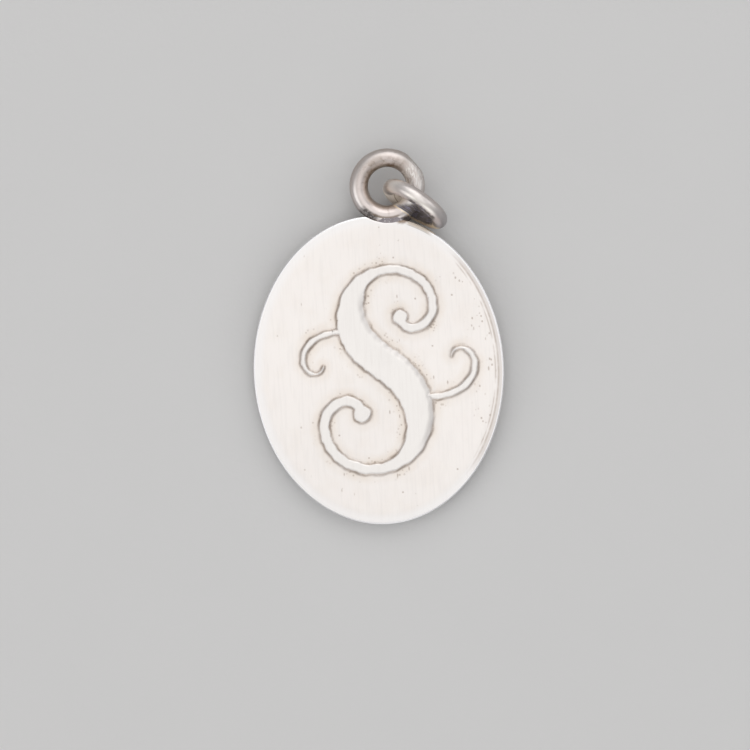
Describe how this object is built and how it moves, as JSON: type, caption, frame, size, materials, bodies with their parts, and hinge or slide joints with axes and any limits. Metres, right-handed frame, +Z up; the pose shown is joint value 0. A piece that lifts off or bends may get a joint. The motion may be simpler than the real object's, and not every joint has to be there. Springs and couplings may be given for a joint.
{
  "type": "initial pendant",
  "caption": "Oval silver pendant with a raised scroll initial on its face, a round wire loop soldered to its top edge and a jump ring.",
  "frame": {"origin": "on the table that the pendant lies on, under the middle of its box", "axes": "+X to the right of the face, +Y from the plate towards the loop, +Z up, out of the face"},
  "size_m": [0.018, 0.027, 0.0052],
  "materials": {
    "satin_silver": "Sterling silver, satin brushed face with fine vertical lines, bright rim, light warm tarnish beside the relief",
    "polished_silver": "Sterling silver round wire, polished and a little tarnished"
  },
  "bodies": {
    "root": {"pendant": "satin_silver", "jump_ring": "polished_silver"}
  },
  "joints": []
}
